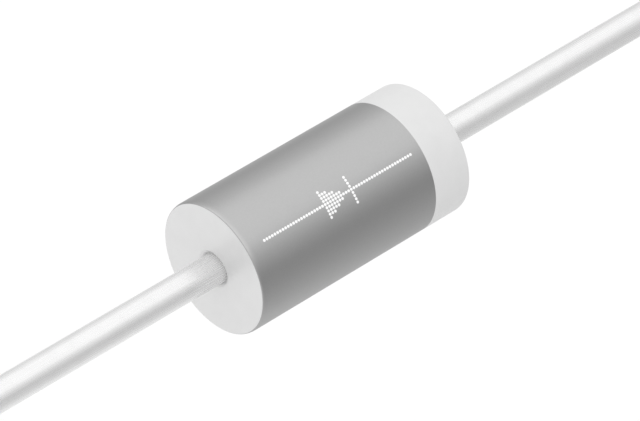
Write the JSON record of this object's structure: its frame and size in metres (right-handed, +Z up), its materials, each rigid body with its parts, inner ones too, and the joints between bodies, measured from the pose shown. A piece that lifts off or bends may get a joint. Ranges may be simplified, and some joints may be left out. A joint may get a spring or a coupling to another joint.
{
  "type": "axial rectifier diode",
  "caption": "Round moulded rectifier diode with a grey coated barrel, a pale ring at its cathode end and a straight tinned wire out of each end.",
  "frame": {"origin": "middle of the moulding, on the axis of the wires", "axes": "+X along the wires, out of the cathode end; +Z up as in the picture, with the axis level"},
  "size_m": [0.0576, 0.0036, 0.0034],
  "materials": {
    "moulding": "smooth moulded epoxy, pale and glossy",
    "grey_lacquer": "smooth grey lacquer with a soft sheen",
    "band_ink": "smooth pale ink",
    "tinned_wire": "satin tin plate on copper wire",
    "silicon": "sawn silicon with a dark sheen",
    "solder": "smooth dull solder",
    "silicone": "smooth translucent white silicone"
  },
  "bodies": {
    "root": {"moulded_body": "moulding", "barrel_coat": "grey_lacquer", "cathode_band": "band_ink", "anode_lead": "tinned_wire", "cathode_lead": "tinned_wire", "silicon_die": "silicon", "anode_solder": "solder", "cathode_solder": "solder", "junction_coating": "silicone"}
  },
  "joints": []
}
